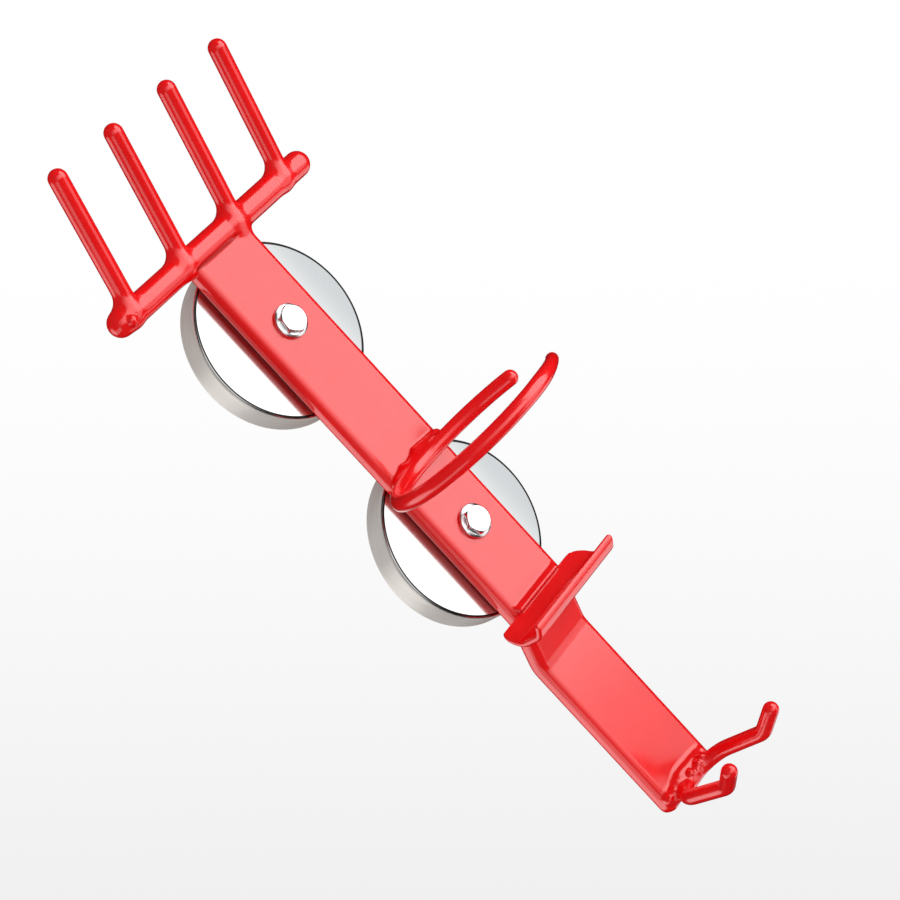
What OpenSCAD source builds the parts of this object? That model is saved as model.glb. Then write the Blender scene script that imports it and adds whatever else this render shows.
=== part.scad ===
// Wall holder for workshop tools: a jogged flat bar on two cup magnets, with a rake, a ring,
// a shelf and a fork welded to it. All the steelwork is dipped in one glossy red coat, so
// each size below is the size over the coat. Millimetres.
// X runs to the right, Y towards the wall and Z up. The origin is the middle of the upper
// magnet's face against the wall.

/* [Magnets] */
// Diameter of each cup magnet
magnet_d = 80; // [60:1:100]
// Height of each magnet, from the wall to the flat bar
magnet_h = 12.4; // [10:0.2:18]
// Distance between the two magnets, centre to centre
magnet_pitch = 113.2; // [100:1:130]
// Thickness of the cup's sheet steel
cup_wall = 2; // [1.5:0.1:3]
// Radius round the cup's outer edge
cup_edge_r = 1.8; // [0.8:0.1:3]
// Bore of the ferrite ring inside the cup
ferrite_bore_d = 30; // [24:1:40]
// Play between the ferrite ring and the cup's side wall
ferrite_play = 0.2; // [0.1:0.1:0.6]
// How far the ferrite sits back from the cup's rim
ferrite_recess = 0.3; // [0.1:0.1:1]

/* [Bolts] */
// Shank diameter of the bolts
bolt_d = 6; // [5:0.5:8]
// Play round the shank in its holes, on the diameter
bolt_play = 0.6; // [0.3:0.1:1]
// Size of the bolt's hexagon across its flats
bolt_hex = 11.4; // [9:0.1:13]
// Height of the hexagon above its flange
bolt_hex_h = 2.4; // [2:0.1:6]
// Turn of the upper bolt's hexagon
upper_turn = 24; // [0:1:60]
// Turn of the lower bolt's hexagon
lower_turn = 56; // [0:1:60]
// Diameter of the flange under the hexagon
bolt_flange_d = 15.4; // [14:0.2:19]
// Thickness of that flange
bolt_flange_h = 1.8; // [0.8:0.1:2.5]
// Diameter of the washer under the nut
washer_d = 18; // [15:0.5:22]
// Thickness of that washer
washer_t = 1.2; // [0.8:0.1:2]
// Size of the nut's hexagon across its flats
nut_hex = 10; // [9:0.1:13]
// Height of the nut
nut_h = 4.8; // [4:0.1:5.5]
// Length of thread showing beyond the nut
thread_end = 0.8; // [0.4:0.1:1.2]

/* [Flat bar] */
// Width of the flat bar
bar_w = 36.8; // [30:0.2:44]
// Thickness of the flat bar
bar_t = 8.4; // [6.5:0.1:10]
// Radius along the bar's edges
bar_edge_r = 2.2; // [0.5:0.1:2.8]
// How far the bar's middle lies to the right of the bolts
bar_shift = 0.4; // [-1:0.1:1]
// How far below the lower magnet's edge the bar starts to bend
jog_gap = 1.3; // [0.5:0.1:6]
// How far the lower stretch is set back towards the wall
jog_depth = 11; // [8:0.1:11.8]
// Angle of the slanting stretch to the vertical
jog_angle = 26; // [20:1:40]
// Radius of the two bends, at mid thickness
jog_r = 9; // [6:0.5:14]
// Length of the straight stretch below the bends
tail_len = 83.8; // [70:0.2:100]
// Radius of the two bottom corners
bar_corner_r = 4; // [2:0.5:8]

/* [Rake] */
// Diameter of the crossbar
rake_bar_d = 11.6; // [10:0.1:14]
// Height of the crossbar's axis above the upper magnet's edge
rake_gap = 5.6; // [5:0.1:20]
// Distance from the wall to the crossbar's axis
rake_out = 17; // [15:0.1:19]
// Diameter of the tines
tine_d = 8.1; // [6:0.1:10]
// Length of a tine from the crossbar's axis to its round tip
tine_len = 66; // [50:0.5:90]
// Spacing of the tines
tine_pitch = 34.2; // [26:0.2:40]
// Lean of the tines away from the wall
tine_lean = 24.2; // [0:0.2:35]
// Crossbar beyond the left tine's axis, less its round end
rake_left = 7.4; // [6:0.2:14]
// Crossbar beyond the right tine's axis, less its round end
rake_right = 10.4; // [6:0.2:14]

/* [Ring] */
// Diameter of the ring's rod
ring_rod_d = 7; // [5:0.1:9]
// Radius of the ring to the rod's centre
ring_r = 42; // [34:0.2:50]
// How far below the upper magnet's centre the ring lies
ring_drop = 79.6; // [74:0.2:86]
// How far to the left of the bar's middle the ring is welded
ring_shift = 2.4; // [0:0.1:4]
// Rise of the ring towards its right side
ring_tilt = 1.8; // [0:0.1:4]
// Angle from the right to the end of the ring's front arm
ring_front_end = 48.4; // [35:0.2:60]
// Angle from the right to the end of the ring's back arm
ring_back_end = 15.2; // [8:0.2:30]

/* [Shelf] */
// Length of the shelf across the bar
shelf_w = 61; // [50:0.5:76]
// Thickness of the shelf's plate
shelf_t = 3; // [2:0.1:4]
// How far above the bar's first bend the plate leaves the bar
shelf_lift = 0.2; // [0:0.1:4]
// Slope of the plate down from the bar
shelf_slope = 44; // [20:1:50]
// Length of the sloping stretch
shelf_fall = 7; // [4:0.1:9]
// Radius of the bend at the foot of the slope
shelf_r = 7; // [5:0.2:10]
// Length of the flat floor
shelf_floor = 7.3; // [4:0.1:14]
// Angle of the front lip
lip_angle = 48; // [30:1:70]
// Radius of the bend in front of the floor
lip_r = 4.5; // [3:0.1:8]
// Length of the straight front lip
lip_len = 3.3; // [1:0.1:6]
// Radius of the plate's right corner at the bar
shelf_right_r = 8; // [2:0.5:12]
// Radius of the plate's left corner at the bar
shelf_left_r = 3; // [2:0.5:12]

/* [Fork] */
// Diameter of the fork's rod
fork_rod_d = 7; // [5:0.1:9]
// Height of the rod's axis above the bar's bottom end
fork_rise = 3.6; // [3.5:0.1:8]
// How deep the rod is let into the bar's front face
fork_seat = 1.8; // [1:0.1:3]
// Distance between the prongs' axes where they leave the bend
fork_gap = 30.6; // [24:0.2:36]
// Radius of the bends behind the prongs
fork_r = 14; // [8:0.5:15]
// Angle by which each prong splays to its side
splay_angle = 3.5; // [0:0.5:10]
// Length of the straight stretch of each prong
prong_len = 20.6; // [12:0.2:36]
// Angle of the prong's tip to the straight stretch
tip_turn = 34; // [20:1:60]
// Radius of the bend below the tip
tip_r = 8; // [5:0.5:12]
// Length of the straight tip
tip_len = 11.4; // [5:0.2:16]
// Lean of the tips to their side
tip_lean = 12; // [0:1:30]

/* [Welds] */
// Radius of the weld beads
weld_r = 3; // [2:0.1:3.4]

/* [Hidden] */

red = [0.78, 0.09, 0.07];
nickel = [0.85, 0.86, 0.85];
zinc = [0.90, 0.91, 0.92];
ferrite = [0.16, 0.16, 0.17];

// One overrun for every cut, tied to the thinnest wall
over = shelf_t;
// How much thinner the straight stretches are than the bends, and how far they reach into them
hair = shelf_t / 75;
lap = shelf_t / 7.5;
$fn = 96;

// Where the bar's faces lie
bar_back = -magnet_h;
bar_face = bar_back - bar_t;
tail_back = bar_back + jog_depth;
tail_face = tail_back - bar_t;

// The jog: two equal bends and a straight slant that together make up its depth
bend_depth = 2 * jog_r * (1 - cos(jog_angle));
slant_len = (jog_depth - bend_depth) / sin(jog_angle);
jog_height = 2 * jog_r * sin(jog_angle) + slant_len * cos(jog_angle);

// Heights counted from the upper magnet's centre
jog_start = magnet_pitch + magnet_d / 2 + jog_gap;
bar_end = jog_start + jog_height + tail_len;
rake_rise = magnet_d / 2 + rake_gap;
shelf_drop = jog_start - shelf_lift;

// The magnets' insides
cup_inner_d = magnet_d - 2 * cup_wall;
hole_d = bolt_d + bolt_play;

// Places of the welded parts
tine_count = 4;
rake_half = (tine_count - 1) / 2 * tine_pitch;
ring_out = bar_face - ring_rod_d / 2 - ring_r;
fork_z = fork_rise - bar_end;
fork_out = tail_face + fork_seat - fork_rod_d / 2;
fork_half = fork_gap / 2;
side_turn = 90 - splay_angle;

// A rectangle in the plane with round corners, made of squares and circles
module round_rect(w, h, r) {
    square([w - 2 * r, h], center = true);
    square([w, h - 2 * r], center = true);
    for (sx = [-1, 1])
        for (sy = [-1, 1])
            translate([sx * (w / 2 - r), sy * (h / 2 - r)])
                circle(r);
}

// The straight and bent lengths of a bar. Each step is [straight length, roll before the bend,
// angle of the bend, radius of the bend]. The bar sets off along Z and bends towards its own X.
// The first child is the section in the bends and the second is the section between them,
// which is thinner by a hair and laps into the bends.
module bent(steps, i = 0) {
    if (i < len(steps)) {
        run = steps[i][0];
        roll = steps[i][1];
        turn = steps[i][2];
        r = steps[i][3];
        before = i > 0 ? lap : 0;
        after = turn > 0 ? lap : 0;
        translate([0, 0, -before])
            linear_extrude(before + run + after)
                children(1);
        if (turn > 0)
            translate([0, 0, run])
                rotate([0, 0, roll]) {
                    rotate([90, 0, 0])
                        translate([r, 0, 0])
                            rotate([0, 0, 180 - turn])
                                rotate_extrude(angle = turn)
                                    translate([r, 0])
                                        rotate(180 - roll)
                                            children(0);
                    translate([r * (1 - cos(turn)), 0, r * sin(turn)])
                        rotate([0, turn, 0])
                            rotate([0, 0, -roll])
                                bent(steps, i + 1) {
                                    children(0);
                                    children(1);
                                }
                }
    }
}

// The same path for a round rod, closed by a round tip. Here the roll stays for the next step.
module bent_rod(steps, d, i = 0) {
    if (i == len(steps))
        sphere(d = d - 4 * hair);
    else {
        run = steps[i][0];
        roll = steps[i][1];
        turn = steps[i][2];
        r = steps[i][3];
        before = i > 0 ? lap : 0;
        after = turn > 0 ? lap : 0;
        translate([0, 0, -before])
            cylinder(d = d - 2 * hair, h = before + run + after);
        translate([0, 0, run])
            rotate([0, 0, roll]) {
                if (turn > 0)
                    rotate([90, 0, 0])
                        translate([r, 0, 0])
                            rotate([0, 0, 180 - turn])
                                rotate_extrude(angle = turn)
                                    translate([r, 0])
                                        circle(d = d);
                translate([r * (1 - cos(turn)), 0, r * sin(turn)])
                    rotate([0, turn, 0])
                        bent_rod(steps, d, i + 1);
            }
    }
}

// The flat bar's own path, from its top end down through the jog
module bar_path() {
    translate([0, (bar_back + bar_face) / 2, rake_rise])
        rotate([180, 0, 0])
            rotate([0, 0, -90])
                bent([
                    [rake_rise + jog_start, 0, jog_angle, jog_r],
                    [slant_len, 180, jog_angle, jog_r],
                    [tail_len, 0, 0, 0]]) {
                    round_rect(bar_t, bar_w, bar_edge_r);
                    round_rect(bar_t - 2 * hair, bar_w - 2 * hair, bar_edge_r - hair);
                }
}

// What is cut off one bottom corner to round it
module corner_cut() {
    translate([bar_w / 2 - bar_corner_r, 0, bar_corner_r - bar_end])
        rotate([90, 0, 0])
            linear_extrude(2 * (magnet_h + bar_t), center = true)
                difference() {
                    translate([0, -bar_corner_r - over])
                        square([bar_corner_r + over, bar_corner_r + over]);
                    circle(bar_corner_r);
                }
}

// The rebate across the bar's end that seats the fork's rod
module fork_rebate() {
    translate([-bar_w / 2 - over, tail_face - over, -bar_end - over])
        cube([bar_w + 2 * over, over + fork_seat, over + fork_rise + fork_rod_d / 2]);
}

module back_bar() {
    color(red)
        difference() {
            translate([bar_shift, 0, 0])
                difference() {
                    bar_path();
                    corner_cut();
                    mirror([1, 0, 0])
                        corner_cut();
                    fork_rebate();
                }
            rake_bar_solid();
            for (drop = [0, magnet_pitch])
                translate([0, bar_back + over, -drop])
                    rotate([90, 0, 0])
                        cylinder(d = hole_d, h = bar_t + 2 * over);
        }
}

// The crossbar, with both of its ends round
module rake_bar_solid() {
    left = rake_half + rake_left;
    right = rake_half + rake_right;
    translate([-left, -rake_out, rake_rise]) {
        rotate([0, 90, 0])
            cylinder(d = rake_bar_d, h = left + right);
        sphere(d = rake_bar_d);
        translate([left + right, 0, 0])
            sphere(d = rake_bar_d);
    }
}

module rake_bar() {
    color(red)
        rake_bar_solid();
}

// A tine is coped to sit on the crossbar
module rake_tine(number) {
    color(red)
        difference() {
            translate([(number - 1) * tine_pitch - rake_half, -rake_out, rake_rise])
                rotate([tine_lean, 0, 0]) {
                    cylinder(d = tine_d, h = tine_len - tine_d / 2);
                    translate([0, 0, tine_len - tine_d / 2])
                        sphere(d = tine_d);
                }
            rake_bar_solid();
            translate([(number - 1) * tine_pitch - rake_half, -rake_out, rake_rise])
                rotate([tine_lean, 0, 0])
                    translate([0, 0, -tine_d])
                        cube(2 * tine_d, center = true);
        }
}

// The open ring, with both of its ends round
module ring_solid() {
    sweep = 360 - ring_front_end - ring_back_end;
    translate([-ring_shift, ring_out, -ring_drop])
        rotate([0, -ring_tilt, 0])
            rotate([0, 0, ring_back_end]) {
                rotate_extrude(angle = sweep)
                    translate([ring_r, 0])
                        circle(d = ring_rod_d);
                for (end = [0, sweep])
                    rotate([0, 0, end])
                        translate([ring_r, 0, 0])
                            sphere(d = ring_rod_d - 2 * hair);
            }
}

module holding_ring() {
    color(red)
        ring_solid();
}

// The shelf's plate: a slope, a floor and a lip in section. It starts inside the bar and is
// trimmed at the bar's face, and its two corners there are round in plan.
module shelf_solid() {
    root = shelf_t / sin(shelf_slope);
    deep = shelf_fall + shelf_r + lip_r + shelf_t;
    wide = 2 * (shelf_w + over);
    difference() {
        translate([0, bar_face + root * cos(shelf_slope), root * sin(shelf_slope) - shelf_drop])
            rotate([90 + shelf_slope, 0, 0])
                rotate([0, 0, 90])
                    bent([
                        [root + shelf_fall, 0, shelf_slope, shelf_r],
                        [shelf_floor, 0, lip_angle, lip_r],
                        [lip_len, 0, 0, 0]]) {
                        square([shelf_t, shelf_w], center = true);
                        square([shelf_t - 2 * hair, shelf_w - 2 * hair], center = true);
                    }
        translate([0, bar_face + wide / 2, -shelf_drop])
            cube([wide, wide, wide], center = true);
        for (side = [0, 1]) {
            r = side == 0 ? shelf_right_r : shelf_left_r;
            mirror([side, 0, 0])
                translate([shelf_w / 2 - r, bar_face - r, -shelf_drop - deep])
                    linear_extrude(2 * deep)
                        difference() {
                            square(r + over);
                            circle(r);
                        }
        }
    }
}

module tool_shelf() {
    color(red)
        shelf_solid();
}

// The fork is one rod, bent to a U with raised tips, so one half is made and mirrored
module fork_half_solid() {
    base = fork_half - fork_r * sin(side_turn);
    translate([0, fork_out, fork_z])
        rotate([0, 90, 0])
            bent_rod([
                [base, -90, side_turn, fork_r],
                [prong_len, -90 - tip_lean, tip_turn, tip_r],
                [tip_len, 0, 0, 0]], fork_rod_d);
}

module fork_solid() {
    fork_half_solid();
    mirror([1, 0, 0])
        fork_half_solid();
}

module fork_rod() {
    color(red)
        fork_solid();
}

// A bead of weld along X: overlapping drops whose sizes vary a little. Only what stands proud
// of the bar's face is kept.
bead_shares = [0.94, 1.08, 0.98, 1.12, 0.96, 1.06, 1.0];
module bead(face, z) {
    n = len(bead_shares);
    length = bar_w - 2 * weld_r;
    wide = bar_w + 2 * over;
    intersection() {
        for (k = [0 : n - 1])
            translate([bar_shift + (k / (n - 1) - 1 / 2) * length, face, z])
                sphere(weld_r * bead_shares[k]);
        translate([bar_shift, face - wide / 2, z])
            cube(wide, center = true);
    }
}

module rake_weld() {
    color(red)
        difference() {
            bead(bar_face, rake_rise - rake_bar_d / 2 - weld_r / 3);
            rake_bar_solid();
        }
}

module ring_weld() {
    color(red)
        difference() {
            bead(bar_face, ring_rod_d / 2 + weld_r / 3 - ring_drop);
            ring_solid();
        }
}

module shelf_weld() {
    color(red)
        difference() {
            bead(bar_face, -shelf_drop - shelf_t);
            shelf_solid();
        }
}

module fork_weld() {
    color(red)
        difference() {
            bead(tail_face, fork_z + fork_rod_d / 2);
            fork_solid();
        }
}

// A pressed steel cup: its floor lies on the bar and its open side faces the wall
module magnet_cup(drop) {
    outer = magnet_d / 2;
    inner = cup_inner_d / 2;
    color(nickel)
        translate([0, 0, -drop])
            rotate([90, 0, 0])
                difference() {
                    rotate_extrude()
                        union() {
                            square([outer - cup_edge_r, magnet_h]);
                            square([outer, magnet_h - cup_edge_r]);
                            translate([outer - cup_edge_r, magnet_h - cup_edge_r])
                                intersection() {
                                    circle(cup_edge_r);
                                    square(cup_edge_r);
                                }
                        }
                    translate([0, 0, -over])
                        cylinder(r = inner, h = magnet_h - cup_wall + over);
                    cylinder(d = hole_d, h = magnet_h + over);
                }
}

module ferrite_ring(drop) {
    color(ferrite)
        translate([0, 0, -drop])
            rotate([90, 0, 0])
                translate([0, 0, ferrite_recess])
                    difference() {
                        cylinder(d = cup_inner_d - 2 * ferrite_play, h = magnet_h - cup_wall - ferrite_recess);
                        translate([0, 0, -over])
                            cylinder(d = ferrite_bore_d, h = magnet_h + 2 * over);
                    }
}

// A hexagon with its corners chamfered by a cone
module hexagon(flats, h, chamfer) {
    intersection() {
        cylinder(d = flats / cos(30), h = h, $fn = 6);
        rotate_extrude()
            polygon([[0, 0], [flats / cos(30) / 2 + chamfer, 0],
                [flats / cos(30) / 2 + chamfer, h - chamfer - chamfer * tan(30)],
                [flats / 2 - chamfer / 2, h], [0, h]]);
    }
}

module bolt(drop, turn) {
    shank = bar_t + cup_wall + washer_t + nut_h + thread_end;
    color(zinc)
        translate([0, bar_face, -drop])
            rotate([90, 0, 0]) {
                cylinder(d = bolt_flange_d, h = bolt_flange_h);
                translate([0, 0, bolt_flange_h])
                    rotate([0, 0, turn])
                        hexagon(bolt_hex, bolt_hex_h, bolt_hex_h / 5);
                translate([0, 0, -shank])
                    cylinder(d = bolt_d, h = shank);
            }
}

module washer(drop) {
    color(zinc)
        translate([0, bar_back + cup_wall, -drop])
            rotate([-90, 0, 0])
                difference() {
                    cylinder(d = washer_d, h = washer_t);
                    translate([0, 0, -over])
                        cylinder(d = hole_d, h = washer_t + 2 * over);
                }
}

// The nut's thread is cut to the bolt's diameter, where the two threads meet
module nut(drop) {
    color(zinc)
        translate([0, bar_back + cup_wall + washer_t, -drop])
            rotate([-90, 0, 0])
                difference() {
                    hexagon(nut_hex, nut_h, nut_h / 8);
                    translate([0, 0, -over])
                        cylinder(d = bolt_d, h = nut_h + 2 * over);
                }
}

back_bar();
rake_bar();
rake_tine(1);  // rake_tine_1
rake_tine(2);  // rake_tine_2
rake_tine(3);  // rake_tine_3
rake_tine(4);  // rake_tine_4
holding_ring();
tool_shelf();
fork_rod();
rake_weld();
ring_weld();
shelf_weld();
fork_weld();
magnet_cup(0);  // upper_magnet_cup
ferrite_ring(0);  // upper_ferrite_ring
bolt(0, upper_turn);  // upper_bolt
washer(0);  // upper_washer
nut(0);  // upper_nut
magnet_cup(magnet_pitch);  // lower_magnet_cup
ferrite_ring(magnet_pitch);  // lower_ferrite_ring
bolt(magnet_pitch, lower_turn);  // lower_bolt
washer(magnet_pitch);  // lower_washer
nut(magnet_pitch);  // lower_nut
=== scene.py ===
# %% [markdown]
# # A magnetic tool holder dipped in red vinyl
#
# The holder is a flat steel bar on two round cup magnets, with a rake, an open ring, a bent
# shelf and a small fork welded to it. Before the magnets are bolted on, all the steelwork is
# dipped once in hot red vinyl, so one glossy skin runs over every rod, plate and weld.
#
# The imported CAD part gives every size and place. This script dresses it: it wraps the welded
# steelwork in one skin, turns the cups, bolts, nuts and washers from profiles, gives each
# finish a material, and lights it all as a product is lit in a studio.

import bmesh
import bpy
import numpy as np
from mathutils import Matrix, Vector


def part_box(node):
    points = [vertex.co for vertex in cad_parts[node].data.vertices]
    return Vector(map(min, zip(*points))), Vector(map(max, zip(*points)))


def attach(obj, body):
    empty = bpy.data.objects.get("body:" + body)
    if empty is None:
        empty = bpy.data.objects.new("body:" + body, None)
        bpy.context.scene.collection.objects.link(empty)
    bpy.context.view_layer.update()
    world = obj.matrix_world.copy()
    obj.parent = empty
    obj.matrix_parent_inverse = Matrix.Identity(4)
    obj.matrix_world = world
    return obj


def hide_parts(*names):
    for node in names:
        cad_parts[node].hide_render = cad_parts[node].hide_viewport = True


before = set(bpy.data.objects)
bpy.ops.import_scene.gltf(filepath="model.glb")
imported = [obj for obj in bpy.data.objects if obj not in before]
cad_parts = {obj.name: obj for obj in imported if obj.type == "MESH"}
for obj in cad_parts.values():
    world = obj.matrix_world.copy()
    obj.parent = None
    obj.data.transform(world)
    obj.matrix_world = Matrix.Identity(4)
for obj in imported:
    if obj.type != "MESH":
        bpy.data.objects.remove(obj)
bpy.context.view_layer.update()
MM = 0.001

# %% [markdown]
# ## The camera
#
# The photograph shows the holder lying slantwise: the camera looked at its front from the left
# and a little from above, and was rolled on its axis. The holder keeps its own upright frame,
# so the roll goes into the camera. Three unit vectors say all that is needed: backwards from
# the object to the camera, to the right in the picture, and up in the picture.

# %% Place the camera
AZIMUTH, ELEVATION, ROLL = np.radians([-37.24, 7.66, -42.52])
DISTANCE = 0.953
LOOK_AT = np.array([31.8, 0, -89.0]) * MM
LENS, SENSOR = 88.08, 36.0

back = np.array([
    np.sin(AZIMUTH) * np.cos(ELEVATION),
    -np.cos(AZIMUTH) * np.cos(ELEVATION),
    np.sin(ELEVATION),
])
level = np.cross([0, 0, 1], back)
level /= np.linalg.norm(level)
upright = np.cross(back, level)
right = np.cos(ROLL) * level + np.sin(ROLL) * upright
up = -np.sin(ROLL) * level + np.cos(ROLL) * upright

camera = bpy.data.objects.new("camera", bpy.data.cameras.new("camera"))
bpy.context.scene.collection.objects.link(camera)
turn = np.eye(4)
turn[:3, :3] = np.stack([right, up, back], axis=1)
turn[:3, 3] = LOOK_AT + DISTANCE * back
camera.matrix_world = Matrix(turn.tolist())
camera.data.lens, camera.data.sensor_width = LENS, SENSOR
camera.data.clip_end = 30
bpy.context.scene.camera = camera
print("camera at", np.round(turn[:3, 3], 3))

# %% [markdown]
# ## From points and faces to an object
#
# Every new piece is an array of points and an array of faces, worked out with numpy. One
# function puts them into a mesh. The object stays at the origin, unturned, so that the
# materials can read places on it in metres, straight from the CAD frame.

# %% A helper that makes an object from arrays


def add_piece(name, points, faces, material, normals=None):
    """A mesh object from points in millimetres and four-sided faces, shaded smooth. Where the
    slope of the surface is known at each point, `normals` gives it and the shading is exact."""
    mesh = bpy.data.meshes.new(name)
    mesh.vertices.add(len(points))
    mesh.vertices.foreach_set("co", (np.asarray(points, float) * MM).ravel())
    mesh.loops.add(faces.size)
    mesh.loops.foreach_set("vertex_index", faces.ravel())
    mesh.polygons.add(len(faces))
    mesh.polygons.foreach_set("loop_start", np.arange(len(faces)) * 4)
    mesh.polygons.foreach_set("use_smooth", np.ones(len(faces), bool))
    mesh.update(calc_edges=True)
    mesh.validate()
    if normals is not None:
        mesh.normals_split_custom_set_from_vertices(normals)
    mesh.materials.append(material)
    piece = bpy.data.objects.new(name, mesh)
    bpy.context.scene.collection.objects.link(piece)
    print(f"{name}: {len(points)} points, {len(faces)} faces")
    return piece


# %% [markdown]
# ## Shader sums as Python expressions
#
# A material's pattern is a sum of noises, masks and ramps. Written with nodes it is hard to
# read, so a small class wraps a socket: an expression such as `1 - mask * 0.5` adds the Math
# nodes by itself. Every other kind of node comes from one method, `node`.

# %% A socket that works in expressions


class Wire:
    """An output socket in a node tree, for use in sums."""

    def __init__(self, tree, socket=None):
        self.tree, self.socket = tree, socket

    def node(self, kind, settings=None, inputs=None, output=0):
        """Adds one node. Its settings come first, then a value or a link for each input."""
        made = self.tree.nodes.new(kind)
        for name, value in (settings or {}).items():
            if name == "stops":
                ramp = made.color_ramp
                while len(ramp.elements) < len(value):
                    ramp.elements.new(1)
                for element, (place, shade) in zip(ramp.elements, value):
                    element.position = place
                    element.color = (*shade, 1)
            else:
                setattr(made, name, value)
        for name, value in (inputs or {}).items():
            if isinstance(value, Wire):
                self.tree.links.new(value.socket, made.inputs[name])
            else:
                made.inputs[name].default_value = value
        return Wire(self.tree, made.outputs[output] if made.outputs else None)

    def math(self, operation, *values):
        return self.node("ShaderNodeMath", {"operation": operation}, dict(enumerate(values)))

    def __add__(self, other):
        return self.math("ADD", self, other)

    def __sub__(self, other):
        return self.math("SUBTRACT", self, other)

    def __rsub__(self, other):
        return self.math("SUBTRACT", other, self)

    def __mul__(self, other):
        return self.math("MULTIPLY", self, other)

    def __truediv__(self, other):
        return self.math("DIVIDE", self, other)

    def __pow__(self, other):
        return self.math("POWER", self, other)

    __radd__, __rmul__ = __add__, __mul__

    def between(self, low, high):
        """0 below low, 1 above high, and a smooth step from one to the other."""
        return self.node(
            "ShaderNodeMapRange",
            {"interpolation_type": "SMOOTHSTEP"},
            {0: self, 1: low, 2: high, 3: 0.0, 4: 1.0},
        )

    def mix(self, low, high):
        """The colour low where this is 0 and high where it is 1."""
        low, high = (v if isinstance(v, Wire) else (*v, 1) for v in (low, high))
        return self.node("ShaderNodeMix", {"data_type": "RGBA"}, {0: self, 6: low, 7: high}, 2)

    def parts(self):
        """The x, y and z of a vector."""
        return [self.node("ShaderNodeSeparateXYZ", {}, {0: self}, k) for k in range(3)]

    def facing(self, direction):
        """The cosine of the angle between this direction and a fixed one."""
        settings = {"operation": "DOT_PRODUCT"}
        return self.node("ShaderNodeVectorMath", settings, {0: self, 1: direction}, 1)


def new_material(name):
    """A material with an empty tree, and a wire to start from."""
    material = bpy.data.materials.new(name)
    material.use_nodes = True
    material.node_tree.nodes.clear()
    return material, Wire(material.node_tree)


def finish_material(wire, bump=None, bump_distance=0.0, **sockets):
    """Ends a tree in a Principled shader. A height in `bump`, with its depth, feeds Normal."""
    inputs = {name.replace("_", " "): value for name, value in sockets.items()}
    if bump is not None:
        heights = {"Height": bump, "Distance": bump_distance}
        inputs["Normal"] = wire.node("ShaderNodeBump", {}, heights)
    shader = wire.node("ShaderNodeBsdfPrincipled", {}, inputs)
    wire.node("ShaderNodeOutputMaterial", {}, {0: shader})


def noise(wire, place, scale, detail=2.0, roughness=0.5):
    """A grey cloud pattern; scale is in patches per metre."""
    return wire.node(
        "ShaderNodeTexNoise",
        {},
        {"Vector": place, "Scale": scale, "Detail": detail, "Roughness": roughness},
    )


# %% [markdown]
# ## The red vinyl
#
# Vinyl from a dip tank is glossy but never flat: it has slow ripples where it ran, and a colour
# that is a little deeper where the coat is thick. A clear coat on top of a red base gives the
# two kinds of shine that the photograph shows, a sharp one at the edges and a soft one over the
# flats. The pattern is mild noise in two sizes. Hardly any light gets into the narrow corner
# between the crossbar and the bar, so shade is painted there: a thin line is painted a deeper
# red, and its coat is turned down so that it has no shine.

# %% Make the vinyl
DEEP_RED, BRIGHT_RED = (0.82, 0.0006, 0.0016), (0.92, 0.0016, 0.0032)
# The crease colour is painted shade: the dark red of the narrow corner below the crossbar.
CREASE_SHADE_RED = (0.42, 0.0006, 0.0016)
CREASE_Z, CREASE_TILT, CREASE_WANDER = 41.0, 0.02, 0.0006

vinyl, wire = new_material("red_vinyl")
place = wire.node("ShaderNodeTexCoord", {}, {}, 3)
cloud = noise(wire, place, 38, 3)
run = noise(wire, place, 150, 2)
across, depth, rise = place.parts()
# Mask of the painted shade: a thin wandering band on the bar's face along the corner below the
# crossbar, where the coat is also turned down.
above_line = rise - CREASE_Z * MM + across * CREASE_TILT + CREASE_WANDER * cloud
off_line = wire.math("ABSOLUTE", above_line)
crease = (1 - off_line.between(0.0003, 0.0012)) * (1 - across.between(0.004, 0.014))
crease = crease * across.between(-0.0182, -0.0165) * (1 - depth.between(-0.0200, -0.0190))
finish_material(
    wire,
    bump=run,
    bump_distance=0.00012,
    Base_Color=crease.mix(cloud.between(0.25, 0.75).mix(DEEP_RED, BRIGHT_RED), CREASE_SHADE_RED),
    Roughness=0.24 + 0.10 * cloud,
    Specular_IOR_Level=0.05,
    Coat_Weight=(0.9 + 0.1 * run) * (1 - 0.9 * crease),
    Coat_Roughness=0.18,
    Coat_IOR=1.8,
)

# %% [markdown]
# ## The dipped steelwork: shapes as distances
#
# On the real holder the rods, plates and weld beads vanish under one skin. Its corners are
# filled, because hot vinyl hangs in them, and its edges are round. Joining separate meshes
# would leave hard lines where they meet. So each member is written as a distance: a function
# that says how far a point lies from the member's surface, negative inside. Distances can be
# melted together: `melt` is the smaller of two distances, less a little where they are nearly
# equal, and that little is the fillet.

# %% Distances to rods, bends and plates
cross, dot = np.cross, np.dot


def along(vector):
    vector = np.asarray(vector, float)
    return vector / np.linalg.norm(vector)


def melt(a, b, reach):
    """The smaller of two distances, with a fillet about as wide as reach."""
    h = np.maximum(reach - np.abs(a - b), 0) / reach
    return np.minimum(a, b) - h * h * reach / 4


def ramp(value, low, high):
    """0 below low, 1 above high, and a smooth step between them."""
    t = np.clip((value - low) / (high - low), 0, 1)
    return t * t * (3 - 2 * t)


def cut(a, b, radius):
    """The part inside both a and b; their common edge is rounded to the radius."""
    a, b = a + radius, b + radius
    outside = np.sqrt(np.maximum(a, 0) ** 2 + np.maximum(b, 0) ** 2)
    return outside + np.minimum(np.maximum(a, b), 0) - radius


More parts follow.
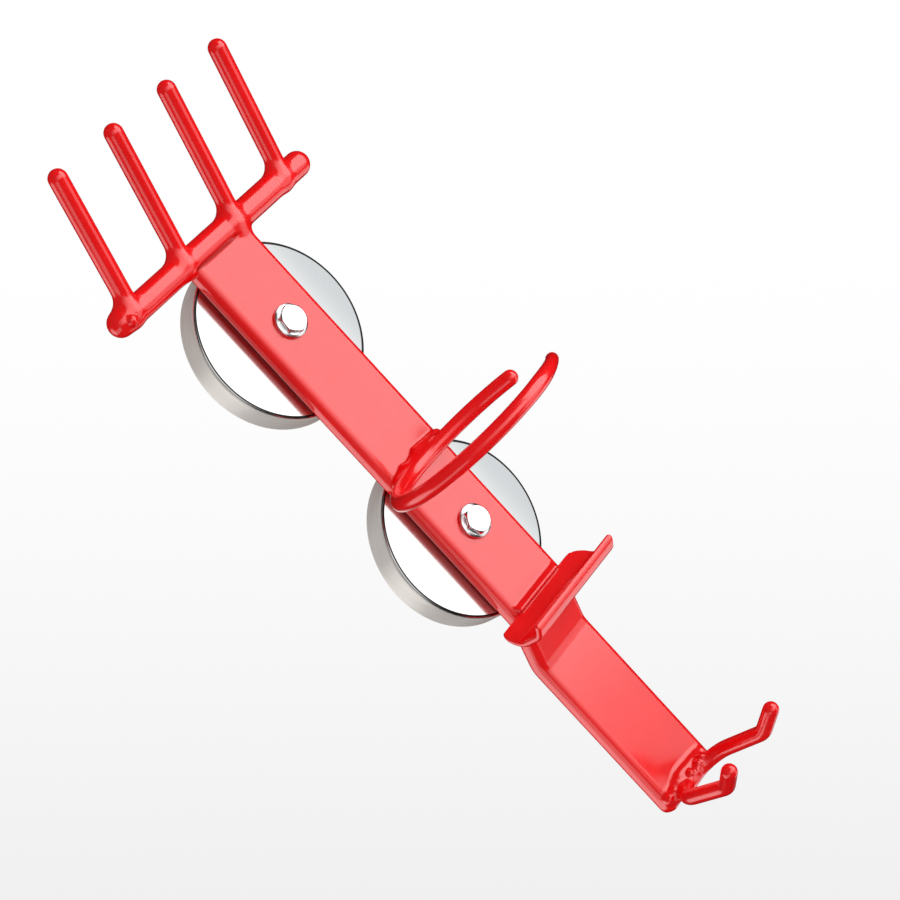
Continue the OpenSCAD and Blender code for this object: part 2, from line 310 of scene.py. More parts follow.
class Path:
    """A centre line made of straight runs and circular bends, as a rod is bent on a bench."""

    def __init__(self, start, heading):
        self.spot, self.heading, self.parts = np.array(start, float), along(heading), []

    def run(self, length):
        end = self.spot + length * self.heading
        self.parts.append(("run", self.spot, end))
        self.spot = end
        return self

    def bend(self, towards, degrees, radius):
        """Turns the heading towards a side through an angle, round a circle of that radius."""
        side = np.asarray(towards, float)
        side = along(side - dot(side, self.heading) * self.heading)
        half = np.radians(degrees) / 2
        centre = self.spot + radius * side
        middle = np.sin(half) * self.heading - np.cos(half) * side
        edge = np.cos(half) * self.heading + np.sin(half) * side
        self.parts.append(("bend", centre, middle, edge, half, radius))
        self.spot = centre + radius * (np.cos(half) * middle + np.sin(half) * edge)
        self.heading = np.cos(2 * half) * self.heading + np.sin(2 * half) * side
        return self

    def distance(self, p):
        """Distance of each point to the nearest run or bend."""
        nearest = np.full(len(p), np.inf)
        for kind, *part in self.parts:
            if kind == "run":
                a, b = part
                q, line = p - a, b - a
                share = np.clip(q @ line / dot(line, line), 0, 1)
                d = np.linalg.norm(q - share[:, None] * line, axis=1)
            else:
                centre, middle, edge, half, radius = part
                q = p - centre
                x, y, z = q @ middle, np.abs(q @ edge), q @ cross(middle, edge)
                on_arc = np.arctan2(y, x) <= half
                flat = np.where(
                    on_arc,
                    np.hypot(x, y) - radius,
                    np.hypot(x - radius * np.cos(half), y - radius * np.sin(half)),
                )
                d = np.hypot(flat, z)
            nearest = np.minimum(nearest, d)
        return nearest


def plan(u, v, u_low, u_high, v_low, v_high, corner_left, corner_right):
    """Distance to a rectangle in the plane of u and v. Its corners at v_low are round, with one
    radius at the u_low side and another at the u_high side; the others are square."""
    mid_u, mid_v = (u_low + u_high) / 2, (v_low + v_high) / 2
    r = np.where(u > mid_u, corner_right, corner_left) * (v < mid_v)
    a = np.abs(u - mid_u) - (u_high - u_low) / 2 + r
    b = np.abs(v - mid_v) - (v_high - v_low) / 2 + r
    return np.hypot(np.maximum(a, 0), np.maximum(b, 0)) + np.minimum(np.maximum(a, b), 0) - r


# %% [markdown]
# The flat bar and the shelf are bent plates. Seen from the side, a plate is a path with a
# thickness; seen from the front or from above, it is a rectangle with round corners. The plate
# is what lies inside both, and `cut` rounds the edges where the two meet. The coat leaves the
# bar's front edges rounder than its back edges, and it softens the bends of the jog.

# %% The flat bar with its jog
MAGNET_H, BAR_T, BAR_W, BAR_SHIFT = 12.4, 8.4, 36.8, 0.4
FRONT_EDGE, BACK_EDGE = 3.8, 2.7
BAR_FACE = -MAGNET_H - BAR_T
JOG_START, JOG_DEPTH, JOG_ANGLE, JOG_R = 153.6, 11.0, 26.0, 13.0
JOG_SPAN = (154, 183)
BAR_END, BAR_CORNER = 265.0, 4.0
TAIL_FACE = BAR_FACE + JOG_DEPTH
RAKE_Z, RAKE_OUT, RAKE_R = 45.6, 17.0, 5.8
BAR_TOP = RAKE_Z + 3

jog = np.radians(JOG_ANGLE)
slant = (JOG_DEPTH - 2 * JOG_R * (1 - np.cos(jog))) / np.sin(jog)
to_wall, to_front, to_top = (0, 1, 0), (0, -1, 0), (0, 0, 1)
bar_line = Path((0, BAR_FACE + BAR_T / 2, RAKE_Z), (0, 0, -1))
bar_line.run(RAKE_Z + JOG_START).bend(to_wall, JOG_ANGLE, JOG_R).run(slant)
bar_line.bend(to_front, JOG_ANGLE, JOG_R).run(120)


def flat_bar(p):
    side = bar_line.distance(p * (0, 1, 1)) - BAR_T / 2
    front = plan(
        p[:, 0] - BAR_SHIFT, p[:, 2], -BAR_W / 2, BAR_W / 2, -BAR_END, BAR_TOP,
        BAR_CORNER, BAR_CORNER,
    )
    middle = BAR_FACE + BAR_T / 2 + JOG_DEPTH * ramp(-p[:, 2], *JOG_SPAN)
    in_front = ramp(middle - p[:, 1], -1, 1)
    return cut(side, front, BACK_EDGE + (FRONT_EDGE - BACK_EDGE) * in_front)


# %% The shelf
SHELF_W, SHELF_T, SHELF_DROP, SHELF_SLOPE = 61.0, 3.0, 154.3, 44.0
SHELF_LEFT_R, SHELF_RIGHT_R, SHELF_EDGE = 3.0, 8.0, 1.2
SLOPE_RUN, TROUGH_R, FLAT_RUN = 7.0, 7.0, 7.3
LIP_ANGLE, LIP_BEND_R, LIP_RUN = 48, 4.5, 3.3
slope = np.radians(SHELF_SLOPE)
root = SHELF_T / np.sin(slope)
shelf_line = Path(
    (0, BAR_FACE + root * np.cos(slope), root * np.sin(slope) - SHELF_DROP),
    (0, -np.cos(slope), -np.sin(slope)),
)
shelf_line.run(root + SLOPE_RUN).bend(to_top, SHELF_SLOPE, TROUGH_R).run(FLAT_RUN)
shelf_line.bend(to_top, LIP_ANGLE, LIP_BEND_R).run(LIP_RUN)
SHELF_FRONT = shelf_line.spot[1] - SHELF_EDGE


def shelf(p):
    side = shelf_line.distance(p * (0, 1, 1)) - SHELF_T / 2
    above = plan(
        p[:, 0], -p[:, 1], -SHELF_W / 2, SHELF_W / 2, -BAR_FACE, -SHELF_FRONT,
        SHELF_LEFT_R, SHELF_RIGHT_R,
    )
    return cut(side, above, SHELF_EDGE)


# %% [markdown]
# The rake, the ring and the fork are round rods, so each is the distance to its centre line,
# less the rod's radius.

# %% Rake, ring and fork
TINE_R, TINE_LEN, TINE_PITCH, TINE_LEAN = 4.05, 66.0, 34.2, np.radians(24.2)
tine_x = (np.arange(4) - 1.5) * TINE_PITCH
rake_left, rake_right = tine_x[0] - 7.4, tine_x[3] + 10.4
rake_line = Path((rake_left, -RAKE_OUT, RAKE_Z), (1, 0, 0)).run(rake_right - rake_left)
tine_lines = [
    Path((x, -RAKE_OUT, RAKE_Z), (0, -np.sin(TINE_LEAN), np.cos(TINE_LEAN))).run(TINE_LEN - TINE_R)
    for x in tine_x
]

RING_ROD_R, RING_R, RING_Z, RING_X, RING_TILT = 3.5, 42.0, -79.6, -2.4, np.radians(1.8)
FRONT_END, BACK_END = 48.4, 15.2
ring_y = BAR_FACE - RING_ROD_R - RING_R
ring_side = np.array([np.cos(RING_TILT), 0, np.sin(RING_TILT)])
back_end = np.radians(BACK_END)
ring_from = np.array([RING_X, ring_y, RING_Z]) + RING_R * (
    np.cos(back_end) * ring_side + np.sin(back_end) * np.array(to_wall)
)
ring_line = Path(ring_from, np.cos(back_end) * np.array(to_wall) - np.sin(back_end) * ring_side)
ring_middle = np.array([RING_X, ring_y, RING_Z])
for _ in range(2):
    ring_line.bend(ring_middle - ring_line.spot, (360 - FRONT_END - BACK_END) / 2, RING_R)

FORK_R, FORK_Z, FORK_SEAT, FORK_HALF = 3.5, 3.6 - BAR_END, 1.8, 15.3
CROTCH_BEND, CROTCH_R, PRONG_RUN = 86.5, 14.0, 20.6
TIP_LEAN, TIP_BEND, TIP_BEND_R, TIP_RUN = np.radians(12.0), 34, 8.0, 11.4
fork_y = TAIL_FACE + FORK_SEAT - FORK_R
fork_base = FORK_HALF - CROTCH_R * np.sin(np.radians(CROTCH_BEND))
fork_lines = [
    Path((0, fork_y, FORK_Z), (s, 0, 0)).run(fork_base).bend(to_front, CROTCH_BEND, CROTCH_R)
    .run(PRONG_RUN).bend((s * np.sin(TIP_LEAN), 0, np.cos(TIP_LEAN)), TIP_BEND, TIP_BEND_R)
    .run(TIP_RUN)
    for s in (-1, 1)
]

# %% [markdown]
# ## Weld beads and drips
#
# Welds are what makes the thing look made by hand. A bead is a row of balls melted into one
# another; the welder's hand shows in its upper edge, which climbs and drops. The ring's bead
# runs across the whole bar, the fork's is a heap of small lumps, and the shelf's is one low
# smooth ridge. A drip is a ball where the last vinyl hung before it set.

# %% Balls for the welds


def balls(p, rows, reach):
    """Distance to a row of balls, each x, y, z and radius, melted into one another."""
    rows = np.asarray(rows, float)
    each = [np.linalg.norm(p - row[:3], axis=1) - row[3] for row in rows]
    nearest = each[0]
    for distance in each[1:]:
        nearest = melt(nearest, distance, reach)
    return nearest


def bead(x_low, x_high, y, tops, radii):
    """A row of balls from x_low to x_high whose upper edge follows the heights in `tops`."""
    tops, radii = np.broadcast_arrays(np.asarray(tops, float), radii)
    x = np.linspace(x_low, x_high, len(tops))
    return np.stack([x, np.full_like(x, y), tops - radii, radii], axis=1)


rake_drip = [(-57.4, BAR_FACE - 1.0, 43.6, 2.6)]
ring_bead = bead(
    -15.8, 15.6, BAR_FACE - 0.9,
    [-76.2, -75.3, -74.2, -75.0, -74.5, -73.0, -73.2, -73.7, -73.9, -74.1], 2.5,
)
fork_bead = bead(
    -15.6, 14.0, TAIL_FACE - 0.4,
    [-256.4, -256.0, -255.0, -254.0, -254.2, -254.6, -254.9, -255.4, -256.2],
    [1.9, 2.2, 2.4, 2.7, 2.6, 2.7, 2.6, 2.4, 1.9],
)
fork_lumps = [
    (8.6, TAIL_FACE - 4.3, -258.2, 1.9), (5.0, TAIL_FACE - 4.5, -258.6, 1.7),
    (2.4, TAIL_FACE - 4.2, -260.2, 1.8), (-0.8, TAIL_FACE - 4.0, -258.4, 1.6),
    (-12.2, TAIL_FACE - 1.2, -258.3, 1.7), (-14.0, TAIL_FACE - 1.4, -261.0, 1.7),
    (-16.4, TAIL_FACE - 0.2, -259.4, 1.5),
]
RIDGE_X, RIDGE_HALF, RIDGE_R = -0.2, 14.4, 0.9
ridge_line = Path((0, BAR_FACE + 1.6, -149.4), (0, -3.0, -2.7)).run(4.5)

# %% The whole skin as one distance
HOLE_R, MAGNET_PITCH = 3.3, 113.2
GROOVE, GROOVE_X = 0.7, -3


def skin(p):
    """Distance to the coat over all the steelwork, in millimetres."""
    x = p[:, 0]
    rake = rake_line.distance(p) - RAKE_R
    for line, foot in zip(tine_lines, tine_x):
        rake = melt(rake, line.distance(p) - TINE_R, 6.0 - 3.0 * ramp(x - foot, -3, 3))
    rake = melt(rake, balls(p, rake_drip, 1.0), 0.5)
    body = melt(flat_bar(p), rake, 0.6 + 4.4 * ramp(x, 5, 14))
    crease = 1 - ramp(np.hypot(p[:, 1] - BAR_FACE, p[:, 2] - CREASE_Z), 0.2, 1.7)
    body = body + GROOVE * crease * (1 - ramp(np.abs(x - GROOVE_X), 9, 15))
    thin = 1 - ramp(np.linalg.norm(p - ring_line.spot, axis=1), 2, 26)
    ring = ring_line.distance(p) - RING_ROD_R + 0.8 * thin
    body = melt(body, melt(ring, balls(p, ring_bead, 2.0), 2.5), 1.3)
    beyond = np.maximum(np.abs(x - RIDGE_X) - RIDGE_HALF, 0)
    ridge = ridge_line.distance(np.stack([beyond, p[:, 1], p[:, 2]], axis=1)) - RIDGE_R
    body = melt(body, ridge, 0.8)
    body = melt(body, shelf(p), 0.8)
    fork = np.minimum(fork_lines[0].distance(p), fork_lines[1].distance(p)) - FORK_R
    fork = melt(fork, balls(p, fork_bead, 2.6), 2.0)
    body = melt(body, melt(fork, balls(p, fork_lumps, 1.2), 1.6), 2.4)
    for z in (0, -MAGNET_PITCH):
        body = cut(body, HOLE_R - np.hypot(x, p[:, 2] - z), 0.6)
    behind = np.where(p[:, 2] > -150, p[:, 1] + MAGNET_H, -BAR_END - p[:, 2])
    return np.maximum(body, np.maximum(behind, -BAR_END - p[:, 2]))


# %% [markdown]
# ## Wrapping a mesh round a distance
#
# Blender can't show a distance, so it is sampled on a fine grid and wrapped in a mesh: one
# point in each grid cell that the surface passes through, at the mean of the places where it
# crosses the cell's edges, and one four-sided face for each grid edge that it crosses. Only
# cells near the surface are sampled finely. At last each point slides along the slope of the
# distance until it lies on the surface. Twice on the way it is drawn towards the middle of its
# neighbours, so that the faces are even.

# %% Wrap the skin
BLOCK = 4


def wrap(distance, low, high, cell):
    """Points and faces of the surface where distance is zero, inside a box."""
    blocks = np.ceil((high - low) / (BLOCK * cell)).astype(int)
    middles = (np.indices(blocks).reshape(3, -1).T * BLOCK + (BLOCK - 1) / 2) * cell + low
    coarse = distance(middles).reshape(blocks)
    field = coarse
    for axis in range(3):
        field = field.repeat(BLOCK, axis)
    near = np.argwhere(np.abs(coarse) < 1.5 * BLOCK * cell)
    inner = np.indices((BLOCK,) * 3).reshape(3, -1).T
    fine = (near[:, None] * BLOCK + inner).reshape(-1, 3)
    field[tuple(fine.T)] = np.concatenate(
        [distance(part * cell + low) for part in np.array_split(fine, 24)]
    )
    print("samples:", len(fine), "of", field.size)

    loops, crossings = [], []
    stride = np.array([field.shape[1] * field.shape[2], field.shape[2], 1])
    steps = np.eye(3, dtype=int)
    for axis in range(3):
        inside = np.moveaxis(field, axis, 0) < 0
        hit = np.argwhere(inside[:-1] != inside[1:])
        hit = np.insert(hit[:, 1:], axis, hit[:, 0], axis=1)
        first, last = field[tuple(hit.T)], field[tuple((hit + steps[axis]).T)]
        crossings.append(hit + np.outer(first / (first - last), steps[axis]))
        u, v = steps[(axis + 1) % 3], steps[(axis + 2) % 3]
        loop = np.stack([hit, hit - u, hit - u - v, hit - v], axis=1) @ stride
        loops.append(np.where((first < 0)[:, None], loop, loop[:, ::-1]))
    loops, crossings = np.concatenate(loops), np.concatenate(crossings)
    _, faces = np.unique(loops, return_inverse=True)
    faces = faces.reshape(loops.shape)
    count = np.bincount(faces.ravel())
    mean = [np.bincount(faces.ravel(), np.repeat(crossings[:, k], 4)) / count for k in range(3)]
    return np.stack(mean, axis=1) * cell + low, faces


def slope_of(distance, p, step=0.05):
    """The direction in which the distance grows, from differences along x, y and z."""
    grad = np.stack([distance(p + e) - distance(p - e) for e in np.eye(3) * step], axis=1)
    return grad / np.linalg.norm(grad, axis=1, keepdims=True)


def relax(points, faces):
    """Each point goes half of the way to the mean of its neighbours, which evens out the faces."""
    here, there = faces.ravel(), np.roll(faces, -1, axis=1).ravel()
    count = np.bincount(here)
    mean = [np.bincount(here, points[there, k]) / count for k in range(3)]
    return (points + np.stack(mean, axis=1)) / 2


CELL = 0.83
steel = [
    "back_bar", "rake_bar", "rake_tine_1", "rake_tine_2", "rake_tine_3", "rake_tine_4",
    "holding_ring", "tool_shelf", "fork_rod", "rake_weld", "ring_weld", "shelf_weld", "fork_weld",
]
corners = np.array([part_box(name) for name in steel]) / MM
low, high = corners[:, 0].min(axis=0) - 2.5, corners[:, 1].max(axis=0) + 2.5
points, faces = wrap(skin, low, high, CELL)
for step in range(5):
    if step in (1, 2):
        points = relax(points, faces)
    points = points - skin(points)[:, None] * slope_of(skin, points)
steelwork = add_piece("dipped_steelwork", points, faces, vinyl, slope_of(skin, points))
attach(steelwork, "root")
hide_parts(*steel)
print("skin box", np.round(points.min(0), 2), np.round(points.max(0), 2))
print("steel box", np.round(corners[:, 0].min(0), 2), np.round(corners[:, 1].max(0), 2))

# %% [markdown]
# ## Bright metal
#
# The cups are pressed from steel sheet and nickel plated. Their faces are smooth and mirror the
# lamps, and their side walls keep fine drawing marks that run round the cup. The marks are
# noise squeezed along the height and stretched round the axis, so the pattern reads the angle
# and the height in place of x, y and z. Light and shade are painted into the face's colour: it
# is paler at the left and darker towards the right, and a thin near-black ring where the face
# turns into the rounded edge is a painted reflection of the dark room. Bolts, washers and nuts
# have a bluer zinc finish.

# %% Materials for the cups, bolts and magnets


def round_axis(wire, z):
    """Radius, angle and height on a piece whose axis runs along Y, z metres above the origin."""
    place = wire.node("ShaderNodeTexCoord", {}, {}, 3)
    centred = wire.node("ShaderNodeMapping", {}, {"Vector": place, "Location": (0, 0, -z)})
    across, depth, rise = centred.parts()
    radius = (across * across + rise * rise) ** 0.5
    return place, across, radius, wire.math("ARCTAN2", rise, across), depth


def ringed(wire, radius, angle, height, fine, along_share):
    """Noise drawn out round the axis: fine lines per metre across, few along the circle."""
    spot = wire.node(
        "ShaderNodeCombineXYZ", {},
        {0: (radius + height) * fine, 1: angle * along_share, 2: height * fine},
    )
    return noise(wire, spot, 1.0, 2)


def nickel_material(name, z):
    material, wire = new_material(name)
    place, across, radius, angle, height = round_axis(wire, z)
    marks = ringed(wire, radius, angle, height, 3500, 2.2)
    cloud = noise(wire, place, 45, 3)
    wall = radius.between(0.0393, 0.0399)
    # Painted light on the face: its colour is paler at the left and darker towards the right,
    # standing in for brighter and dimmer reflections.
    left = across.between(-0.022, -0.006).mix((0.62, 0.61, 0.60), (0.42, 0.42, 0.42))
    face = across.between(0.006, 0.036).mix(left, (0.27, 0.28, 0.285))
    # A thin ring at the start of the rounded edge is painted near-black: a painted reflection of the
    # dark room, not a seam.
    painted_edge_reflection = radius.between(0.0382, 0.0384) * (1 - radius.between(0.0389, 0.0392))
    face = painted_edge_reflection.mix(face, (0.02, 0.02, 0.02))
    streaks = (0.6 * marks + 0.4 * cloud).between(0.25, 0.75)
    side = streaks.mix((0.66, 0.61, 0.57), (0.90, 0.86, 0.81))
    finish_material(
        wire,
        bump=marks * (0.1 + 0.9 * wall),
        bump_distance=0.00003,
        Base_Color=wall.mix(face, side),
        Metallic=1.0 - 0.7 * wall,
        Roughness=0.13 + 0.08 * cloud + 0.22 * wall,
    )
    return material


def zinc_material(name, z, shade, roughness):
    material, wire = new_material(name)
    place, _, radius, angle, height = round_axis(wire, z)
    marks = ringed(wire, radius, angle, height, 2600, 1.4)
    stain = noise(wire, place, 260, 3)
    finish_material(
        wire,
        bump=marks * 0.4 + stain * 0.6,
        bump_distance=0.00002,
        Base_Color=stain.between(0.3, 0.7).mix([v * 0.88 for v in shade], shade),
        Metallic=1.0,
        Roughness=roughness + 0.12 * stain,
    )
    return material


def ferrite_material(name):
    """Sintered ferrite: charcoal, dull, with a fine grain and the arcs of the grinding wheel."""
    material, wire = new_material(name)
    place = wire.node("ShaderNodeTexCoord", {}, {}, 3)
    grain = noise(wire, place, 1600, 3)
    drawn_out = wire.node("ShaderNodeMapping", {}, {"Vector": place, "Scale": (14, 600, 700)})
    arcs = noise(wire, drawn_out, 1.0, 2)
    shade = (0.6 * grain + 0.4 * arcs).between(0.3, 0.7)
    finish_material(
        wire,
        bump=grain * 0.6 + arcs * 0.4,
        bump_distance=0.00004,
        Base_Color=shade.mix((0.022, 0.022, 0.024), (0.060, 0.059, 0.060)),
        Roughness=0.48 + 0.2 * arcs,
    )
    return material


# %% [markdown]
# ## Turned parts
#
# A cup, a magnet, a bolt, a washer and a nut are all round about one axis, so each is a profile
# carried round it: the first parameter runs along the profile and the second round the axis. A
# hexagon is made the same way, with the radius held back to the flat wherever the profile would
# pass it. Corners in a profile are drawn as small arcs, so that they catch the light.

# %% A profile carried round an axis
TURNS = 240


def rounded(profile, sizes, steps=5):
    """A closed profile of radius and height whose corners are replaced by arcs of the sizes. A
    point is added just outside each arc, so that flat faces are shaded flat."""
    profile = np.asarray(profile, float)
    made = []
    for k, size in enumerate(sizes):
        corner, before, after = profile[k], profile[k - 1], profile[(k + 1) % len(profile)]
        if size == 0:
            made.append(corner[None])
            continue
        a, b = along(before - corner), along(after - corner)
        share = np.linspace(0, 1, steps)[:, None]
        start, end = corner + a * size, corner + b * size
        arc = (1 - share) ** 2 * start + 2 * share * (1 - share) * corner + share ** 2 * end
        made.append(np.concatenate([[start + 0.1 * a], arc, [end + 0.1 * b]]))
    return np.concatenate(made)


def turned(profile, z, y, outwards=-1, limit=None, above=-1.0):
    """Points and faces of a profile (radius, height) carried round Y at a height z. The profile's
    height counts outwards from y. A limit gives the largest radius at each angle, for the part of
    the profile that is higher than `above`."""
    angle = np.arange(TURNS) / TURNS * 2 * np.pi
    radius = np.repeat(profile[:, :1], TURNS, axis=1)
    if limit is not None:
        radius = np.where(profile[:, 1:] > above, np.minimum(radius, limit(angle)), radius)
    rise = np.repeat(profile[:, 1:], TURNS, axis=1)
    points = np.stack(
        [radius * np.cos(angle), y + outwards * rise, z + radius * np.sin(angle)], axis=-1
    ).reshape(-1, 3)
    rows, columns = np.arange(len(profile)), np.arange(TURNS)
    i, j = np.meshgrid(rows, columns, indexing="ij")
    i2, j2 = (i + 1) % len(profile), (j + 1) % TURNS
    quads = np.stack([i * TURNS + j, i2 * TURNS + j, i2 * TURNS + j2, i * TURNS + j2], axis=-1)
    return points, quads.reshape(-1, 4)


def outward(piece):
    """Merges the points that meet on the axis and turns every face outwards."""
    shell = bmesh.new()
    shell.from_mesh(piece.data)
    bmesh.ops.remove_doubles(shell, verts=shell.verts, dist=1e-6)
    bmesh.ops.recalc_face_normals(shell, faces=shell.faces)
    shell.to_mesh(piece.data)
    shell.free()
    return piece


def hexagon(flats, turn_degrees, round_share=0.02):
    """The radius of a hexagon at each angle, with its six corners a little round."""

    def limit(angle):
        a = (angle - np.radians(turn_degrees)) % (np.pi / 3) - np.pi / 6
        sharp = flats / 2 / np.cos(a)
        return np.minimum(sharp, flats / 2 / np.cos(np.pi / 6) * (1 - round_share))

    return limit


# %% Cups, magnets, bolts, washers and nuts
CUP_R, CUP_WALL, FERRITE_BORE, RECESS = 40.0, 2.0, 15.0, 0.3
CUP_IN = CUP_R - CUP_WALL
FLANGE_R, FLANGE_RIM, FLANGE_H, HEX, HEX_H = 7.7, 1.35, 1.8, 11.4, 2.4
HEAD_TOP = FLANGE_H + HEX_H
WASHER_R, WASHER_T, NUT_HEX, NUT_H, BOLT_R = 9.0, 1.2, 10.0, 4.8, 3.0
THREAD_CREST, THREAD_ROOT, HALF_PITCH, THREAD_END = 2.95, 2.62, 0.5, 0.8
SHANK = BAR_T + CUP_WALL + WASHER_T + NUT_H + THREAD_END

cup_profile = rounded(
    [(HOLE_R, MAGNET_H), (CUP_R, MAGNET_H), (CUP_R, 0), (CUP_IN, 0), (CUP_IN, MAGNET_H - CUP_WALL),
     (HOLE_R, MAGNET_H - CUP_WALL)],
    [0.2, 1.8, 0.5, 0.3, 0.5, 0.2], 9,
)
ferrite_profile = rounded(
    [(FERRITE_BORE, RECESS), (CUP_IN - 0.2, RECESS), (CUP_IN - 0.2, MAGNET_H - CUP_WALL),
     (FERRITE_BORE, MAGNET_H - CUP_WALL)],
    [0.7, 0.6, 0.1, 0.1],
)
washer_profile = rounded(
    [(HOLE_R, 0), (WASHER_R, 0), (WASHER_R, WASHER_T), (HOLE_R, WASHER_T)], [0.15, 0.25, 0.15, 0.1]
)
corner_r = HEX / np.sqrt(3)
thread = np.arange(SHANK - HALF_PITCH, BAR_T, -HALF_PITCH)
crest = np.where(np.arange(len(thread)) % 2, THREAD_ROOT, THREAD_CREST)
head_profile = np.concatenate([
    [(0, -SHANK), (THREAD_ROOT, -SHANK)],
    np.stack([crest, -thread], axis=1),
    [(THREAD_CREST, -BAR_T), (THREAD_CREST, 0)],
    rounded(
        [(BOLT_R, 0), (FLANGE_R, 0), (FLANGE_R, FLANGE_RIM), (corner_r + 0.1, FLANGE_H)],
        [0, 0.2, 0.35, 0.1],
    )[1:],
    [(corner_r + 0.05, FLANGE_H + 0.02), (corner_r + 0.05, FLANGE_H + HEX_H * 0.7)],
    rounded(
        [(corner_r, FLANGE_H + HEX_H * 0.75), (HEX / 2 - 0.1, HEAD_TOP), (2.0, HEAD_TOP)],
        [0, 0.4, 0],
    ),
    [(0, HEAD_TOP)],
])
nut_r = NUT_HEX / np.sqrt(3) + 0.1
nut_profile = rounded(
    [(BOLT_R, 0.35), (BOLT_R + 0.4, 0), (NUT_HEX / 2 - 0.2, 0), (nut_r, 0.75), (nut_r, NUT_H - 0.75),
     (NUT_HEX / 2 - 0.2, NUT_H), (BOLT_R + 0.4, NUT_H), (BOLT_R, NUT_H - 0.35)],
    [0.1, 0.1, 0.2, 0.1, 0.1, 0.2, 0.1, 0.1],
)

for which, z, head_turn in (("upper", 0.0, 24.0), ("lower", -MAGNET_PITCH, 56.0)):
    nickel = nickel_material(f"{which}_nickel", z * MM)
    bright = zinc_material(f"{which}_bright_zinc", z * MM, (0.93, 0.93, 0.94), 0.16)
    dull = zinc_material(f"{which}_dull_zinc", z * MM, (0.72, 0.73, 0.75), 0.30)
    charcoal = ferrite_material(f"{which}_ferrite")
    floor_y = CUP_WALL - MAGNET_H
    head, nut_shape = hexagon(HEX, head_turn), hexagon(NUT_HEX, 12)
    pieces = {
        "magnet_cup": (turned(cup_profile, z, 0), nickel, "nickel"),
        "ferrite_ring": (turned(ferrite_profile, z, 0), charcoal, "ferrite"),
        "washer": (turned(washer_profile, z, floor_y, 1), dull, "zinc"),
        "nut": (turned(nut_profile, z, floor_y + WASHER_T, 1, nut_shape), dull, "zinc"),
        "bolt": (turned(head_profile, z, BAR_FACE, -1, head, FLANGE_H + 0.01), bright, "zinc"),
    }
    for name, ((pts, quads), material, slot_name) in pieces.items():
        piece = outward(add_piece(f"{which}_{name}_finish", pts, quads, material))
        piece.data.set_sharp_from_angle(angle=np.radians(28))
        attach(piece, "root")
        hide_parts(f"{which}_{name}")

# %% [markdown]
# ## The studio
#
# The photograph was lit by a large lamp box at the right, which the flats mirror as pink, and a
# weaker one at the left that draws a line along each rod. The right one is two lamps here, one
# above the other, since its lower part is weaker. Everything else round the holder was dark,
# apart from the white paper behind it. So the world is seen in three ways. It is white for the
# camera, fading to a pale grey towards the bottom of the picture. It is a calm grey for the
# light that reaches a dull surface. A mirroring surface sees a dark room with three pale
# panels, one in front, one behind and one below. A pale floor far below sends a little light
# back up, and neither the camera nor a mirroring surface sees it.

# %% Lamps


LAMP_DISTANCE = 1.4


def add_lamp(name, azimuth, width, z_low, z_high, radiance):
    """An upright rectangular lamp that faces the object from an azimuth, in degrees to the right
    of straight ahead. Its power follows from its radiance and its area."""
    data = bpy.data.lights.new(name, "AREA")
    data.shape, data.size, data.size_y = "RECTANGLE", width, z_high - z_low
    data.energy = radiance * np.pi * width * (z_high - z_low)
    lamp = bpy.data.objects.new(name, data)
    bpy.context.scene.collection.objects.link(lamp)
    a = np.radians(azimuth)
    towards, wide = np.array([np.sin(a), -np.cos(a), 0]), np.array([np.cos(a), np.sin(a), 0])
    placed = np.eye(4)
    placed[:3, :3] = np.stack([wide, (0, 0, 1), towards], axis=1)
    placed[:3, 3] = LAMP_DISTANCE * towards + (0, 0, (z_low + z_high) / 2)
    lamp.matrix_world = Matrix(placed.tolist())
    print(name, "at", np.round(placed[:3, 3], 2))


add_lamp("lamp_right", azimuth=41.3, width=0.97, z_low=-0.557, z_high=1.20, radiance=2.45)
add_lamp("lamp_right_low", azimuth=39.5, width=0.90, z_low=-2.10, z_high=-0.557, radiance=1.0)
add_lamp("lamp_left", azimuth=-92.0, width=1.60, z_low=-1.10, z_high=-0.32, radiance=0.95)

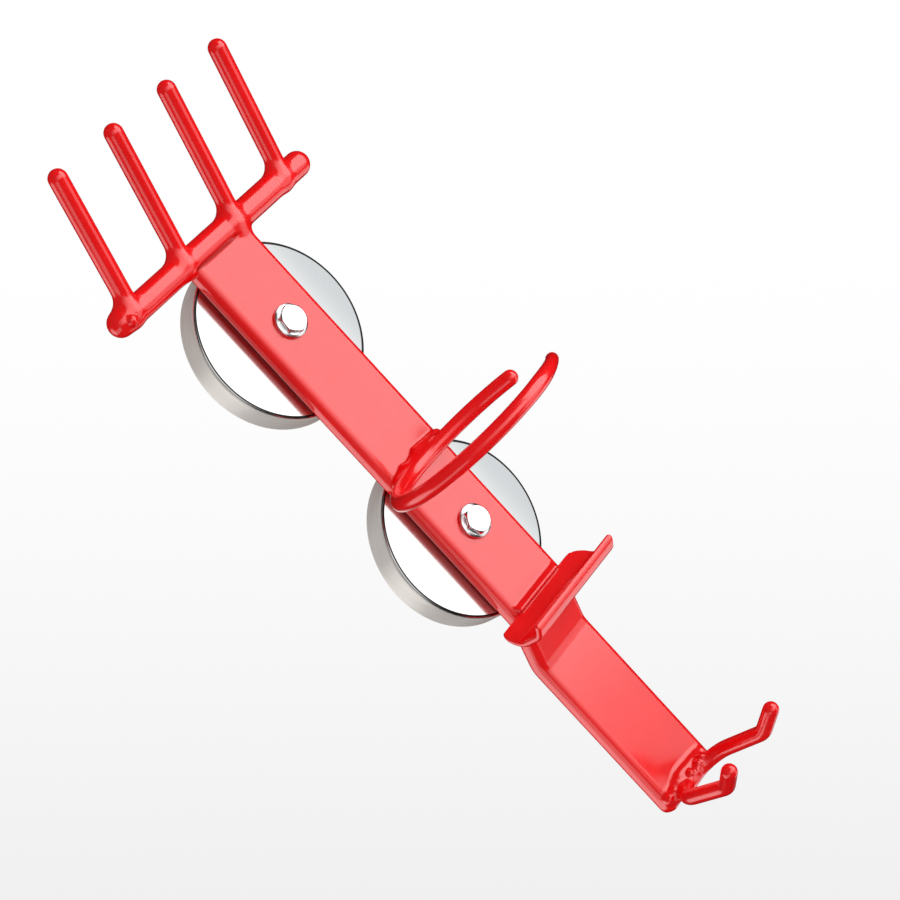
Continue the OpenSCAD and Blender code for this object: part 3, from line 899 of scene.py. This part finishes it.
# %% World and floor
BACKDROP_TOP, BACKDROP_FOOT = (1.0, 1.0, 1.0), (0.832, 0.832, 0.832)
CALM_GREY, DARK_ROOM, PANEL = (0.74, 0.74, 0.74), (0.008, 0.008, 0.008), (2.4, 2.4, 2.4)
PANEL_BEHIND, PANEL_BELOW = (-0.66, 0.73, -0.15), (0.60, 0.15, -0.79)
world = bpy.data.worlds.new("studio")
bpy.context.scene.world = world
world.use_nodes = True
world.node_tree.nodes.clear()
wire = Wire(world.node_tree)
sight = wire.node("ShaderNodeTexCoord", {}, {}, 0)
paper = (sight.facing(tuple(up)) * -1).between(-0.12, 0.35).mix(BACKDROP_TOP, BACKDROP_FOOT)
camera_ray = wire.node("ShaderNodeLightPath", {}, {}, 0)
glossy_ray = wire.node("ShaderNodeLightPath", {}, {}, 3)
seen = wire.node("ShaderNodeBackground", {}, {0: paper, 1: 1.0})
sight_x, sight_y, sight_z = sight.parts()
azimuth = wire.math("ARCTAN2", sight_x, sight_y * -1)
front = azimuth.between(-1.20, 0.55) * (1 - azimuth.between(0.33, 0.47))
front = front * sight_z.between(-0.45, -0.20) * (1 - sight_z.between(0.25, 0.45))
behind = sight.facing(PANEL_BEHIND).between(0.90, 0.97)
below = sight.facing(PANEL_BELOW).between(0.92, 0.98)
glow = front + behind * 0.7 + below * 0.5
room = glossy_ray.mix(CALM_GREY, glow.mix(DARK_ROOM, PANEL))
felt = wire.node("ShaderNodeBackground", {}, {0: room, 1: 1.0})
both = wire.node("ShaderNodeMixShader", {}, {0: camera_ray, 1: felt, 2: seen})
wire.node("ShaderNodeOutputWorld", {}, {0: both})

floor_material, wire = new_material("pale_floor")
glossy_ray = wire.node("ShaderNodeLightPath", {}, {}, 3)
pale = wire.node("ShaderNodeBsdfDiffuse", {}, {0: (0.8, 0.8, 0.8, 1)})
clear = wire.node("ShaderNodeBsdfTransparent")
camera_ray = wire.node("ShaderNodeLightPath", {}, {}, 0)
shown = wire.node("ShaderNodeMixShader", {}, {0: camera_ray + glossy_ray, 1: pale, 2: clear})
wire.node("ShaderNodeOutputMaterial", {}, {0: shown})
FLOOR_Z, FLOOR_HALF, FLOOR_CELLS = -2200.0, 3000.0, 8
side = np.linspace(-FLOOR_HALF, FLOOR_HALF, FLOOR_CELLS + 1)
gx, gy = np.meshgrid(side, side, indexing="ij")
floor_points = np.stack([gx, gy, np.full_like(gx, FLOOR_Z)], axis=-1).reshape(-1, 3)
i, j = np.meshgrid(np.arange(FLOOR_CELLS), np.arange(FLOOR_CELLS), indexing="ij")
first = i * (FLOOR_CELLS + 1) + j
second = first + FLOOR_CELLS + 1
floor_faces = np.stack([first, second, second + 1, first + 1], axis=-1)
floor = add_piece("floor", floor_points, floor_faces.reshape(-1, 4), floor_material)

bpy.context.scene.view_settings.view_transform = "Standard"
